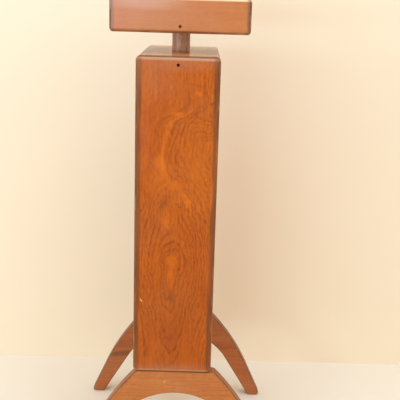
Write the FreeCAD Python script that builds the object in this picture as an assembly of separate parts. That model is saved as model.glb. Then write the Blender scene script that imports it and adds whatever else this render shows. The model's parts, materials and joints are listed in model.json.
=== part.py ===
"""Floor stand for a trumpet: a swivelling head on a sliding post in a box column with two arched feet.

The frame has its origin on the floor under the middle of the column. +X is to the right of
somebody facing the front, +Y runs to the back and +Z is up. Sizes are in millimetres.
"""

import FreeCAD
import Part

import math
import os

from FreeCAD import Vector

# ---- Driving dimensions -------------------------------------------------------------------------

BOARD = 19.0                # thickness of the boards that the column and the arches are cut from
SEE_OVER = 1.0              # how far a cutting tool runs past the face that it cuts

# Arched feet: one board at the front and one at the back of the column.
ARCH_HEIGHT = 147.5         # floor to the flat top that carries the column
ARCH_TOP_HALF = 55.0        # half of the flat top
SHOULDER_SLOPE = 46.0       # slope of the shoulder where it leaves the flat top, in degrees
SHOULDER_RUN = 59.3         # along that slope, from the flat top to where it meets the leg's line
SHOULDER_R = 320.0          # radius of the shoulder's long curve
FOOT_OUT = 144.0            # middle of the stand to the outer edge of a foot
FOOT_IN = 123.7             # middle of the stand to the inner edge of a foot
LEG_SLOPE_IN = 58.5         # slope of the leg's inner edge, in degrees
ARCH_INNER_R = 96.7         # radius of the curve under the arch
ARCH_CORNER_R = 8.0         # corner between the flat top and the shoulder
FOOT_CORNER_R = 4.0         # corners of a foot where it meets the floor
ARCH_EDGE_R = 2.5           # softened edges of the arch boards
ARCH_INSET = 3.0            # an arch's outer face stands this far inside the column's face
FRONT_ARCH_SHIFT = 5.0      # the front arch stands this far to the right of the column's middle
BACK_ARCH_SHIFT = 1.5       # and the back arch this far

# Column: a closed box of boards with rounded edges.
COLUMN_WIDTH = 110.0
COLUMN_DEPTH = 240.0
COLUMN_HEIGHT = 440.0
COLUMN_EDGE_R = 6.0
STRIP = 14.0                # side of the square glue strips in the column's corners

# Post and what guides it.
POST_R = 12.7
POST_FIT = 0.05             # radial clearance of the post in its guides and in the head
POST_EDGE = 1.5             # chamfer on the post's ends
POST_BELOW_TOP = 240.0      # from the column's top down to the post's lower end, at rest
POST_TRAVEL = 120.0
NECK = 27.0                 # bare post between the column and the head, at rest
GUIDE_BLOCK = (68.0, 70.0, 38.0)
GUIDE_SCREW_INSET = 8.0     # from the guide block's sides to the middle of its screws
BRAKE_R = 21.0              # outer radius of the felt ring that grips the post
BRAKE_THICK = 6.0
BRAKE_GAP = 0.3             # the felt's clearance around the post
SHELF_LENGTH = 90.0
SHELF_SCREW_Y = 30.0
CLEAT_SCREW_Y = 15.0
SHELF_THICK = 12.0
SHELF_BELOW_TOP = 100.0     # from the column's top down to the top of the guide shelf
CLEAT = (14.0, 24.0)        # width and height of the cleats under the shelf

# Steel pins on the middle line: one keeps the post, one keeps the head.
PIN_R = 2.1
PIN_FIT = 0.05
LOCK_PIN_BELOW_TOP = 10.5
LOCK_PIN_RECESS = 3.0       # the pin's outer end sits this far inside the column's front face
DRAW_HOLE = (1.1, 9.0)      # radius and depth of the hole in that end, for a screw that draws it out
KEYWAY_WIDTH = 5.0
KEYWAY_DEPTH = 5.0
KEY_TIP_GAP = 0.4           # between the lock pin's tip and the floor of the keyway
KEY_END_GAP = 0.05          # between the lock pin and the keyway's end, at each end of the travel
HEAD_PIN_ABOVE_BOTTOM = 9.0
HEAD_PIN_RECESS = 2.5
NECK_GROOVE_WIDTH = 5.0
NECK_GROOVE_DEPTH = 3.0

# Head: a block that turns on the post, with a felt seat for the bell of the trumpet.
HEAD_WIDTH = 189.0
HEAD_DEPTH = 140.0
HEAD_HEIGHT = 47.0
HEAD_EDGE_R = 5.0
SOCKET_DEPTH = 27.0
THRUST_DISC_THICK = 1.5
SEAT_R = 64.0               # the bell seat's wall, above its felt
SEAT_DEPTH = 3.0            # from the head's top down to the top of the felt
FELT_BED_R = 62.5           # the shallow bed under the seat that the felt is glued into
SEAT_FELT_THICK = 2.0
SEAT_FELT_GAP = 0.4
DISC_GAP = 0.05             # between the thrust disc and the end of the head's socket

# Fasteners: each screw is (shank radius, length under the head, head radius, head thickness).
ARCH_SCREW = (2.0, 60.0, 4.0, 3.0)
GUIDE_SCREW = (1.75, 50.0, 3.5, 2.5)
CLEAT_SCREW = (1.75, 27.0, 3.5, 2.5)
SHELF_SCREW = (1.75, 30.0, 3.5, 2.5)
SCREW_SLOT = (1.0, 1.2)     # width and depth of the slots in a screw's head
SLOT_REACH = 0.65           # half of a slot's length, as a share of the head's radius
TIP_LENGTH = 2.0            # length of a screw's tip, as a share of the shank's radius
TIP_END_R = 0.25            # radius of the tip's end, as a share of the shank's radius
ARCH_SCREW_X = 12.0
ARCH_SCREW_SINK = 8.0       # how deep a screw's head sits above the underside of the arch
SINK_R = 4.6
DOWEL_R = 5.0
DOWEL_LENGTH = 50.0
DOWEL_X = 36.0

# ---- Places worked out from them ----------------------------------------------------------------

HALF_WIDTH = COLUMN_WIDTH / 2
HALF_DEPTH = COLUMN_DEPTH / 2
INNER_X = HALF_WIDTH - BOARD
INNER_Y = HALF_DEPTH - BOARD
COLUMN_BOTTOM = ARCH_HEIGHT
COLUMN_TOP = COLUMN_BOTTOM + COLUMN_HEIGHT
FLOOR_BOARD_TOP = COLUMN_BOTTOM + BOARD
TOP_BOARD_BOTTOM = COLUMN_TOP - BOARD
ARCH_CENTRE_Y = HALF_DEPTH - ARCH_INSET - BOARD / 2
ARCH_APEX = (FOOT_IN * math.tan(math.radians(LEG_SLOPE_IN))
             - ARCH_INNER_R * (1 / math.cos(math.radians(LEG_SLOPE_IN)) - 1))

HEAD_BOTTOM = COLUMN_TOP + NECK
HEAD_TOP = HEAD_BOTTOM + HEAD_HEIGHT
SOCKET_TOP = HEAD_BOTTOM + SOCKET_DEPTH
POST_TOP = SOCKET_TOP - DISC_GAP - THRUST_DISC_THICK
POST_BOTTOM = COLUMN_TOP - POST_BELOW_TOP
LOCK_PIN_Z = COLUMN_TOP - LOCK_PIN_BELOW_TOP
HEAD_PIN_Z = HEAD_BOTTOM + HEAD_PIN_ABOVE_BOTTOM
BORE_R = POST_R + POST_FIT
PIN_BORE_R = PIN_R + PIN_FIT
SEAT_FLOOR = HEAD_TOP - SEAT_DEPTH
FELT_BED_FLOOR = SEAT_FLOOR - SEAT_FELT_THICK
SHELF_TOP = COLUMN_TOP - SHELF_BELOW_TOP
SHELF_BOTTOM = SHELF_TOP - SHELF_THICK
GUIDE_BLOCK_BOTTOM = TOP_BOARD_BOTTOM - GUIDE_BLOCK[2]


# ---- Helpers ------------------------------------------------------------------------------------

def block(x_range, y_range, z_range):
    """Plain box between three pairs of limits."""
    low, high = zip(x_range, y_range, z_range)
    size = [b - a for a, b in zip(low, high)]
    return Part.makeBox(*size, Vector(*low))


def rod(radius, start, end):
    """Cylinder of one radius from one point to another."""
    start, end = Vector(*start), Vector(*end)
    along = end - start
    return Part.makeCylinder(radius, along.Length, start, along)


def upright(radius, z_low, z_high, x=0.0, y=0.0):
    """Cylinder standing along Z."""
    return rod(radius, (x, y, z_low), (x, y, z_high))


def both_ways(*values):
    """Each value with its mirror image, as a flat list."""
    return [sign * value for value in values for sign in (-1, 1)]


def rounded_outline(corners):
    """Closed wire in the XZ plane through corners (x, z, radius), with a tangent arc at each."""
    edges, first, previous = [], None, None
    count = len(corners)
    for index, (x, z, radius) in enumerate(corners):
        here = Vector(x, 0, z)
        back = Vector(corners[index - 1][0], 0, corners[index - 1][1]) - here
        ahead = Vector(corners[(index + 1) % count][0], 0, corners[(index + 1) % count][1]) - here
        half = back.getAngle(ahead) / 2
        back.normalize()
        ahead.normalize()
        reach = radius / math.tan(half)
        start, end = here + back * reach, here + ahead * reach
        inward = (back + ahead).normalize()
        middle = here + inward * (radius / math.sin(half) - radius)
        if previous is None:
            first = start
        else:
            edges.append(Part.LineSegment(previous, start).toShape())
        edges.append(Part.Arc(start, middle, end).toShape())
        previous = end
    edges.append(Part.LineSegment(previous, first).toShape())
    return Part.Wire(edges)


def wood_screw(kind, x, y, seat_z):
    """Screw pointing up, with the underside of its head on seat_z and crossed slots in the head."""
    shank_r, length, head_r, head_thick = kind
    slot_width, slot_depth = SCREW_SLOT
    tip_z = seat_z + length - TIP_LENGTH * shank_r
    tip = Part.makeCone(shank_r, TIP_END_R * shank_r, TIP_LENGTH * shank_r, Vector(x, y, tip_z))
    screw = upright(shank_r, seat_z, tip_z, x, y).fuse(tip)
    screw = screw.fuse(upright(head_r, seat_z - head_thick, seat_z, x, y))
    slot_z = (seat_z - head_thick - SEE_OVER, seat_z - head_thick + slot_depth)
    reach, half = head_r * SLOT_REACH, slot_width / 2
    screw = screw.cut(block((x - reach, x + reach), (y - half, y + half), slot_z))
    screw = screw.cut(block((x - half, x + half), (y - reach, y + reach), slot_z))
    return screw.removeSplitter()


def screw_hole(kind, x, y, seat_z):
    """The space that a wood screw fills above its seat."""
    shank_r, length = kind[:2]
    return upright(shank_r, seat_z, seat_z + length, x, y)


# ---- Arched feet --------------------------------------------------------------------------------

def arch_outline():
    """Outline of an arch board, clockwise from the left end of the flat top."""
    slope = math.radians(SHOULDER_SLOPE)
    shoulder_x = ARCH_TOP_HALF + SHOULDER_RUN * math.cos(slope)
    shoulder_z = ARCH_HEIGHT - SHOULDER_RUN * math.sin(slope)
    crotch_z = FOOT_IN * math.tan(math.radians(LEG_SLOPE_IN))
    right = [
        (ARCH_TOP_HALF, ARCH_HEIGHT, ARCH_CORNER_R),
        (shoulder_x, shoulder_z, SHOULDER_R),
        (FOOT_OUT, 0.0, FOOT_CORNER_R),
        (FOOT_IN, 0.0, FOOT_CORNER_R),
    ]
    left = [(-x, z, radius) for x, z, radius in reversed(right)]
    return rounded_outline(right + [(0.0, crotch_z, ARCH_INNER_R)] + left)


def arch(centre_y, shift):
    """One arch board with softened edges, drilled under the column for its dowels and its screws."""
    board = Part.Face(arch_outline()).extrude(Vector(0, BOARD, 0))
    face_edges = [edge for edge in board.Edges
                  if abs(edge.BoundBox.YMax - edge.BoundBox.YMin) < BOARD / 2]
    board = board.makeFillet(ARCH_EDGE_R, face_edges)
    board.translate(Vector(shift, centre_y - BOARD / 2, 0))
    for x in both_ways(DOWEL_X):
        board = board.cut(dowel(x, centre_y))
    for x in both_ways(ARCH_SCREW_X):
        seat_z = ARCH_APEX + ARCH_SCREW_SINK
        board = board.cut(upright(SINK_R, 0, seat_z, x, centre_y))
        board = board.cut(screw_hole(ARCH_SCREW, x, centre_y, seat_z))
    return board


def dowel(x, y):
    """One dowel, half in the arch and half in the column's front or back panel."""
    return upright(DOWEL_R, COLUMN_BOTTOM - DOWEL_LENGTH / 2, COLUMN_BOTTOM + DOWEL_LENGTH / 2, x, y)


def arch_dowels():
    """The four dowels between the arches and the column."""
    return [dowel(x, y) for y in both_ways(ARCH_CENTRE_Y) for x in both_ways(DOWEL_X)]


def arch_screws():
    """The four screws that go up through the arches into the column."""
    seat_z = ARCH_APEX + ARCH_SCREW_SINK
    return [wood_screw(ARCH_SCREW, x, y, seat_z)
            for y in both_ways(ARCH_CENTRE_Y) for x in both_ways(ARCH_SCREW_X)]


# ---- Column -------------------------------------------------------------------------------------

def column_envelope():
    """The closed column with all its edges rounded, which every outer board is trimmed to."""
    body = block((-HALF_WIDTH, HALF_WIDTH), (-HALF_DEPTH, HALF_DEPTH), (COLUMN_BOTTOM, COLUMN_TOP))
    return body.makeFillet(COLUMN_EDGE_R, body.Edges)


def end_panel(side):
    """Front panel (side -1) or back panel (side +1), over the full width of the column."""
    y_range = sorted((side * HALF_DEPTH, side * INNER_Y))
    panel = block((-HALF_WIDTH, HALF_WIDTH), y_range, (COLUMN_BOTTOM, COLUMN_TOP))
    panel = panel.common(column_envelope())
    centre_y = side * ARCH_CENTRE_Y
    for x in both_ways(DOWEL_X):
        panel = panel.cut(dowel(x, centre_y))
    for x in both_ways(ARCH_SCREW_X):
        panel = panel.cut(screw_hole(ARCH_SCREW, x, centre_y, ARCH_APEX + ARCH_SCREW_SINK))
    return panel


def front_panel():
    """Front panel, with the lock pin's hole."""
    return end_panel(-1).cut(lock_pin_bore())


def side_panel(side):
    """Side panel between the front and back panels."""
    panel = block(sorted((side * HALF_WIDTH, side * INNER_X)), (-INNER_Y, INNER_Y),
                  (COLUMN_BOTTOM, COLUMN_TOP))
    panel = panel.common(column_envelope())
    for hole in cleat_screw_holes():
        panel = panel.cut(hole)
    return panel


def top_board():
    """Board that closes the column's top and guides the post, drilled for the lock pin."""
    board = block((-INNER_X, INNER_X), (-INNER_Y, INNER_Y), (TOP_BOARD_BOTTOM, COLUMN_TOP))
    board = board.cut(upright(BORE_R, TOP_BOARD_BOTTOM - SEE_OVER, COLUMN_TOP + SEE_OVER))
    board = board.cut(lock_pin_bore())
    for x, y in guide_screw_places():
        board = board.cut(screw_hole(GUIDE_SCREW, x, y, GUIDE_BLOCK_BOTTOM))
    return board


def bottom_board():
    """Board that closes the column's bottom."""
    return block((-INNER_X, INNER_X), (-INNER_Y, INNER_Y), (COLUMN_BOTTOM, FLOOR_BOARD_TOP))


def corner_strip(side_x, side_y):
    """Square glue strip in one inner corner of the column."""
    return block(sorted((side_x * INNER_X, side_x * (INNER_X - STRIP))),
                 sorted((side_y * INNER_Y, side_y * (INNER_Y - STRIP))),
                 (FLOOR_BOARD_TOP, TOP_BOARD_BOTTOM))


# ---- Guides inside the column -------------------------------------------------------------------

def guide_screw_places():
    """Places (x, y) of the screws that hold the guide block to the top board."""
    x, y = GUIDE_BLOCK[0] / 2 - GUIDE_SCREW_INSET, GUIDE_BLOCK[1] / 2 - GUIDE_SCREW_INSET
    return [(side_x, side_y) for side_x in both_ways(x) for side_y in both_ways(y)]


def guide_block():
    """Block under the top board that guides the post and holds the felt brake ring."""
    width, depth, _ = GUIDE_BLOCK
    body = block((-width / 2, width / 2), (-depth / 2, depth / 2), (GUIDE_BLOCK_BOTTOM, TOP_BOARD_BOTTOM))
    body = body.cut(upright(BORE_R, GUIDE_BLOCK_BOTTOM - SEE_OVER, TOP_BOARD_BOTTOM + SEE_OVER))
    body = body.cut(upright(BRAKE_R, TOP_BOARD_BOTTOM - BRAKE_THICK, TOP_BOARD_BOTTOM + SEE_OVER))
    for x, y in guide_screw_places():
        body = body.cut(screw_hole(GUIDE_SCREW, x, y, GUIDE_BLOCK_BOTTOM))
    return body


def guide_block_screws():
    """The four screws that go up through the guide block into the top board."""
    return [wood_screw(GUIDE_SCREW, x, y, GUIDE_BLOCK_BOTTOM) for x, y in guide_screw_places()]


def brake_felt():
    """Felt ring that grips the post, so that it stays at the height it is set to."""
    ring = upright(BRAKE_R, TOP_BOARD_BOTTOM - BRAKE_THICK, TOP_BOARD_BOTTOM)
    return ring.cut(upright(POST_R + BRAKE_GAP, GUIDE_BLOCK_BOTTOM, COLUMN_TOP))


def shelf_screw_places():
    """Places (x, y) of the screws that hold the guide shelf to its cleats."""
    x = INNER_X - CLEAT[0] / 2
    return [(side_x, side_y) for side_x in both_ways(x) for side_y in both_ways(SHELF_SCREW_Y)]


def guide_shelf():
    """Shelf across the column that guides the lower end of the post."""
    board = block((-INNER_X, INNER_X), (-SHELF_LENGTH / 2, SHELF_LENGTH / 2), (SHELF_BOTTOM, SHELF_TOP))
    board = board.cut(upright(BORE_R, SHELF_BOTTOM - SEE_OVER, SHELF_TOP + SEE_OVER))
    for x, y in shelf_screw_places():
        board = board.cut(screw_hole(SHELF_SCREW, x, y, SHELF_BOTTOM - CLEAT[1]))
    return board


def shelf_cleat(side):
    """Cleat that carries one end of the guide shelf on a side panel."""
    width, height = CLEAT
    cleat = block(sorted((side * INNER_X, side * (INNER_X - width))),
                  (-SHELF_LENGTH / 2, SHELF_LENGTH / 2), (SHELF_BOTTOM - height, SHELF_BOTTOM))
    for x, y in shelf_screw_places():
        cleat = cleat.cut(screw_hole(SHELF_SCREW, x, y, SHELF_BOTTOM - height))
    for hole in cleat_screw_holes():
        cleat = cleat.cut(hole)
    return cleat


def shelf_screws():
    """The four screws that go up through the cleats into the guide shelf."""
    return [wood_screw(SHELF_SCREW, x, y, SHELF_BOTTOM - CLEAT[1]) for x, y in shelf_screw_places()]


def cleat_screw(side, y):
    """Screw from a cleat's inner face into its side panel."""
    screw = wood_screw(CLEAT_SCREW, 0, 0, 0)
    screw.rotate(Vector(0, 0, 0), Vector(0, 1, 0), side * 90)
    screw.translate(Vector(side * (INNER_X - CLEAT[0]), y, SHELF_BOTTOM - CLEAT[1] / 2))
    return screw


def cleat_screws():
    """The four screws that hold the cleats to the side panels."""
    return [cleat_screw(side, y) for side in (-1, 1) for y in both_ways(CLEAT_SCREW_Y)]


def cleat_screw_holes():
    """The spaces that the cleat screws fill beyond the cleats' inner faces."""
    shank_r, length = CLEAT_SCREW[:2]
    z = SHELF_BOTTOM - CLEAT[1] / 2
    start, end = INNER_X - CLEAT[0], INNER_X - CLEAT[0] + length
    return [rod(shank_r, (side * start, y, z), (side * end, y, z))
            for side in (-1, 1) for y in both_ways(CLEAT_SCREW_Y)]


# ---- Post and lock pin --------------------------------------------------------------------------

def keyway():
    """Slot in the front of the post that the lock pin's tip runs in."""
    end_r = KEYWAY_WIDTH / 2
    top_z = LOCK_PIN_Z + PIN_R + KEY_END_GAP - end_r
    low_z = LOCK_PIN_Z - PIN_R - KEY_END_GAP + end_r - POST_TRAVEL
    y_range = (-POST_R - SEE_OVER, -POST_R + KEYWAY_DEPTH)
    slot = block((-end_r, end_r), y_range, (low_z, top_z))
    for z in (low_z, top_z):
        slot = slot.fuse(rod(end_r, (0, y_range[0], z), (0, y_range[1], z)))
    return slot


def neck_groove():
    """Ring-shaped groove near the top of the post that the head pin's tip runs in."""
    z_range = (HEAD_PIN_Z - NECK_GROOVE_WIDTH / 2, HEAD_PIN_Z + NECK_GROOVE_WIDTH / 2)
    return upright(POST_R + SEE_OVER, *z_range).cut(upright(POST_R - NECK_GROOVE_DEPTH, *z_range))


def post():
    """Round post with chamfered ends, the keyway and the groove for the head's pin."""
    body = upright(POST_R, POST_BOTTOM, POST_TOP)
    rims = [edge for edge in body.Edges if edge.Closed]
    body = body.makeChamfer(POST_EDGE, rims)
    return body.cut(keyway()).cut(neck_groove())


def thrust_disc():
    """Thin disc on top of the post that the head turns on."""
    return upright(POST_R - POST_EDGE, POST_TOP, POST_TOP + THRUST_DISC_THICK)


def lock_pin_bore():
    """Hole through the front panel and the top board that the lock pin slides in."""
    return rod(PIN_BORE_R, (0, -HALF_DEPTH - SEE_OVER, LOCK_PIN_Z), (0, 0, LOCK_PIN_Z))


def lock_pin():
    """Steel pin from the front panel into the post's keyway, with a draw hole in its outer end."""
    outer_y = -HALF_DEPTH + LOCK_PIN_RECESS
    tip_y = -POST_R + KEYWAY_DEPTH - KEY_TIP_GAP
    pin = rod(PIN_R, (0, outer_y, LOCK_PIN_Z), (0, tip_y, LOCK_PIN_Z))
    hole_r, hole_depth = DRAW_HOLE
    return pin.cut(rod(hole_r, (0, outer_y - SEE_OVER, LOCK_PIN_Z), (0, outer_y + hole_depth, LOCK_PIN_Z)))


# ---- Head ---------------------------------------------------------------------------------------

def head_block():
    """Head with rounded edges, a blind socket for the post and a round bell seat with a bed for its felt."""
    half_x, half_y = HEAD_WIDTH / 2, HEAD_DEPTH / 2
    body = block((-half_x, half_x), (-half_y, half_y), (HEAD_BOTTOM, HEAD_TOP))
    body = body.makeFillet(HEAD_EDGE_R, body.Edges)
    body = body.cut(upright(BORE_R, HEAD_BOTTOM - SEE_OVER, SOCKET_TOP))
    body = body.cut(upright(SEAT_R, SEAT_FLOOR, HEAD_TOP + SEE_OVER))
    body = body.cut(upright(FELT_BED_R, FELT_BED_FLOOR, HEAD_TOP + SEE_OVER))
    pin_hole = rod(PIN_R, (0, -half_y - SEE_OVER, HEAD_PIN_Z), (0, 0, HEAD_PIN_Z))
    return body.cut(pin_hole)


def head_pin():
    """Steel pin fixed in the head, with its tip in the post's ring-shaped groove."""
    outer_y = -HEAD_DEPTH / 2 + HEAD_PIN_RECESS
    tip_y = -(POST_R - NECK_GROOVE_DEPTH + KEY_TIP_GAP)
    return rod(PIN_R, (0, outer_y, HEAD_PIN_Z), (0, tip_y, HEAD_PIN_Z))


def bell_seat_felt():
    """Felt disc glued into its bed, level with the bell seat's floor."""
    return upright(FELT_BED_R - SEAT_FELT_GAP, FELT_BED_FLOOR, SEAT_FLOOR)


# ---- Nodes --------------------------------------------------------------------------------------

def nodes():
    """Every node's name with its solid, or with its list of solids for a set of fasteners."""
    named = {
        "front_arch": arch(-ARCH_CENTRE_Y, FRONT_ARCH_SHIFT),
        "back_arch": arch(ARCH_CENTRE_Y, BACK_ARCH_SHIFT),
        "arch_dowels": arch_dowels(),
        "arch_screws": arch_screws(),
        "front_panel": front_panel(),
        "back_panel": end_panel(1),
        "left_side_panel": side_panel(-1),
        "right_side_panel": side_panel(1),
        "top_board": top_board(),
        "bottom_board": bottom_board(),
        "guide_block": guide_block(),
        "guide_block_screws": guide_block_screws(),
        "brake_felt": brake_felt(),
        "guide_shelf": guide_shelf(),
        "shelf_cleat_left": shelf_cleat(-1),
        "shelf_cleat_right": shelf_cleat(1),
        "shelf_screws": shelf_screws(),
        "cleat_screws": cleat_screws(),
        "post": post(),
        "thrust_disc": thrust_disc(),
        "lock_pin": lock_pin(),
        "head_block": head_block(),
        "head_pin": head_pin(),
        "bell_seat_felt": bell_seat_felt(),
    }
    for row, side_y in (("front", -1), ("back", 1)):
        for column, side_x in (("left", -1), ("right", 1)):
            named[f"corner_strip_{row}_{column}"] = corner_strip(side_x, side_y)
    return named


def main():
    """Write one STEP file for each node and print its volume."""
    os.makedirs("parts", exist_ok=True)
    for name, shape in nodes().items():
        solids = shape if isinstance(shape, list) else shape.Solids
        whole = solids[0] if len(solids) == 1 else Part.makeCompound(solids)
        if not whole.isValid():
            raise ValueError(f"{name} is not a valid shape")
        whole.exportStep(f"parts/{name}.step")
        print(f"{name}: {len(solids)} solid(s), {whole.Volume / 1000:.2f} cm3")


main()
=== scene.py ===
"""Looks of a floor stand for a trumpet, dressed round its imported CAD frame.

The stand is a swivelling head on a sliding post, in a box column on two arched feet. Places and sizes
come from the frame, in metres, with +X to the right of somebody facing the front, +Y to the back and
+Z up. Inside the finishes, places on a board are in millimetres: along its grain, across it and
through it.
"""

import json
import logging
import math
from dataclasses import dataclass, replace
from enum import Enum
from typing import Any, ClassVar

import bpy
from mathutils import Matrix, Vector
from mathutils import noise as random_field

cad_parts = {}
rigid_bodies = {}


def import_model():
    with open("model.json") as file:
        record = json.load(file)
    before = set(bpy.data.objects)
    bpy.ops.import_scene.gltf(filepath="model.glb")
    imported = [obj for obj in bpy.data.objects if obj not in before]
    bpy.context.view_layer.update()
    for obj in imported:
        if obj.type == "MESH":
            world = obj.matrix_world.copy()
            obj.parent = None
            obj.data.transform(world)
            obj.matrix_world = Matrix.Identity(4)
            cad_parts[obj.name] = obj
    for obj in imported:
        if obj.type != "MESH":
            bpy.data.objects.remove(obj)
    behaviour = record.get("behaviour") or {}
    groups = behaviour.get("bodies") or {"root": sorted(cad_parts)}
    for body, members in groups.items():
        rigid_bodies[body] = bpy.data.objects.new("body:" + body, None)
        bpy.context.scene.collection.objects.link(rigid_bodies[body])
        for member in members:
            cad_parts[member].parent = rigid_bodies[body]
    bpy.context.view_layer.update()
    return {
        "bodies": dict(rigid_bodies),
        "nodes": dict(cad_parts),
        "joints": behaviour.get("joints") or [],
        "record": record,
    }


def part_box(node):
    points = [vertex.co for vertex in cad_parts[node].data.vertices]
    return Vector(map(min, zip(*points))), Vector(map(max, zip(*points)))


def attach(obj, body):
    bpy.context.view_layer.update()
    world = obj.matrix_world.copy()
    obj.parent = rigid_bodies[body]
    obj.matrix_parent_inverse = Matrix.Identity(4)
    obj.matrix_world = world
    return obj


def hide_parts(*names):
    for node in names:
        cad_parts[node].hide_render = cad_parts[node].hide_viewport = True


LOG = logging.getLogger("trumpet_stand")
MILLIMETRES = 1000.0

Colour = tuple[float, float, float]
Place = tuple[float, float, float]


def srgb(red: int, green: int, blue: int) -> Colour:
    """Turn a colour as a screen shows it into linear light.

    Args:
        red: Red, from 0 to 255.
        green: Green, from 0 to 255.
        blue: Blue, from 0 to 255.

    Returns:
        The three linear values, from 0 to 1.
    """
    def linear(level: int) -> float:
        """Return one channel in linear light."""
        share = level / 255
        return share / 12.92 if share <= 0.04045 else ((share + 0.055) / 1.055) ** 2.4

    return linear(red), linear(green), linear(blue)


# ---- Node graphs --------------------------------------------------------------------------------


class Kind(Enum):
    """Kinds of socket on a node group."""

    VALUE = "NodeSocketFloat"
    COLOUR = "NodeSocketColor"
    VECTOR = "NodeSocketVector"


def numbers(*names: str) -> dict[str, Kind]:
    """Return number sockets of these names."""
    return dict.fromkeys(names, Kind.VALUE)


@dataclass(frozen=True)
class Signal:
    """A quantity that changes over a surface. Arithmetic with it adds Math nodes to its graph."""

    graph: "Graph"
    socket: bpy.types.NodeSocket

    def __add__(self, other: "Signal | float") -> "Signal":
        """Return the sum."""
        return self.graph.math("ADD", self, other)

    def __sub__(self, other: "Signal | float") -> "Signal":
        """Return the difference."""
        return self.graph.math("SUBTRACT", self, other)

    def __mul__(self, other: "Signal | float") -> "Signal":
        """Return the product."""
        return self.graph.math("MULTIPLY", self, other)

    def __truediv__(self, other: "Signal | float") -> "Signal":
        """Return the quotient."""
        return self.graph.math("DIVIDE", self, other)

    def __abs__(self) -> "Signal":
        """Return the size without the sign."""
        return self.graph.math("ABSOLUTE", self)

    __radd__ = __add__
    __rmul__ = __mul__

    def __rsub__(self, other: float) -> "Signal":
        """Return a number less this signal."""
        return self.graph.math("SUBTRACT", other, self)

    def above(self, other: "Signal | float") -> "Signal":
        """Return the larger of the two."""
        return self.graph.math("MAXIMUM", self, other)

    def below(self, other: "Signal | float") -> "Signal":
        """Return the smaller of the two."""
        return self.graph.math("MINIMUM", self, other)


Feed = Signal | float | tuple[float, ...]


class Graph:
    """A shader node tree, with one call for each sort of node that the finishes need."""

    def __init__(self, tree: bpy.types.ShaderNodeTree) -> None:
        """Wrap a node tree.

        Args:
            tree: The tree that the calls add nodes to.
        """
        self.tree = tree

    def feed(self, socket: bpy.types.NodeSocket, value: Feed) -> None:
        """Link a signal to a socket, or set the socket to a constant.

        Args:
            socket: The socket to feed.
            value: A signal, a number, or a colour or vector of three numbers.
        """
        if isinstance(value, Signal):
            self.tree.links.new(value.socket, socket)
        elif isinstance(value, tuple):
            socket.default_value = (*value, 1.0)[:len(socket.default_value)]
        else:
            socket.default_value = value

    def node(self, kind: str, feeds: dict[str | int, Feed], **settings: Any) -> bpy.types.Node:
        """Add a node.

        Args:
            kind: The node's type name, after "ShaderNode".
            feeds: What its inputs get, by name or number.
            **settings: The node's own properties.

        Returns:
            The new node.
        """
        made = self.tree.nodes.new("ShaderNode" + kind)
        for name, setting in settings.items():
            setattr(made, name, setting)
        for name, value in feeds.items():
            self.feed(made.inputs[name], value)
        return made

    def signal(self, made: bpy.types.Node, output: str | int = 0) -> Signal:
        """Return one output of a node as a signal."""
        return Signal(self, made.outputs[output])

    def math(self, operation: str, *values: Feed, clamp: bool = False) -> Signal:
        """Add a Math node.

        Args:
            operation: The node's operation.
            *values: Its inputs in order.
            clamp: Whether the result stays from 0 to 1.

        Returns:
            The result.
        """
        made = self.node("Math", dict(enumerate(values)), operation=operation, use_clamp=clamp)
        return self.signal(made)

    def step(self, value: Signal, start: float, end: float) -> Signal:
        """Rise smoothly from 0 where a value is at its start to 1 where it is at its end.

        Args:
            value: The value.
            start: Where the result is 0.
            end: Where the result is 1. It may be below the start.

        Returns:
            The result, from 0 to 1.
        """
        rising = end > start
        feeds = {"Value": value, "From Min": min(start, end), "From Max": max(start, end),
                 "To Min": 0.0 if rising else 1.0, "To Max": 1.0 if rising else 0.0}
        return self.signal(self.node("MapRange", feeds, interpolation_type="SMOOTHSTEP"))

    def tint(self, amount: Feed, first: Feed, second: Feed, blend: str = "MIX") -> Signal:
        """Mix two colours.

        Args:
            amount: Share of the second colour, from 0 to 1.
            first: The first colour.
            second: The second colour.
            blend: The Mix node's blend type.

        Returns:
            The mixed colour.
        """
        made = self.node("Mix", {}, data_type="RGBA", blend_type=blend)
        # A Mix node has sockets for numbers and vectors before those for colours.
        for socket, value in ((0, amount), (6, first), (7, second)):
            self.feed(made.inputs[socket], value)
        return self.signal(made, 2)

    def split(self, vector: Signal) -> tuple[Signal, Signal, Signal]:
        """Return a vector's three components."""
        made = self.node("SeparateXYZ", {0: vector})
        return self.signal(made, 0), self.signal(made, 1), self.signal(made, 2)

    def join(self, x: Feed, y: Feed, z: Feed) -> Signal:
        """Return a vector made of three values."""
        return self.signal(self.node("CombineXYZ", {0: x, 1: y, 2: z}))

    def noise(self, place: Signal, scale: float, detail: float = 2.0, rough: float = 0.5) -> Signal:
        """Add a Noise texture.

        Args:
            place: Where it is read.
            scale: Its scale.
            detail: How many finer layers it has.
            rough: How strong those layers are.

        Returns:
            Its value, about 0.5 on average.
        """
        feeds = {"Vector": place, "Scale": scale, "Detail": detail, "Roughness": rough}
        return self.signal(self.node("TexNoise", feeds))

    def grain_noise(self, grain: Signal, lengthwise: float, crosswise: float, detail: float = 2.0,
                    rough: float = 0.5) -> Signal:
        """Add a Noise texture that is stretched along the grain.

        Args:
            grain: The place on the board, in millimetres.
            lengthwise: Its scale along the grain.
            crosswise: Its scale across and through the grain.
            detail: How many finer layers it has.
            rough: How strong those layers are.

        Returns:
            Its value, about 0.5 on average.
        """
        along, across, depth = self.split(grain)
        stretched = self.join(along * lengthwise, across * crosswise, depth * crosswise)
        return self.noise(stretched, 1.0, detail, rough)

    def spot(self) -> Signal:
        """Return the place on the piece, in metres."""
        return self.signal(self.node("TexCoord", {}), "Object")


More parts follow.
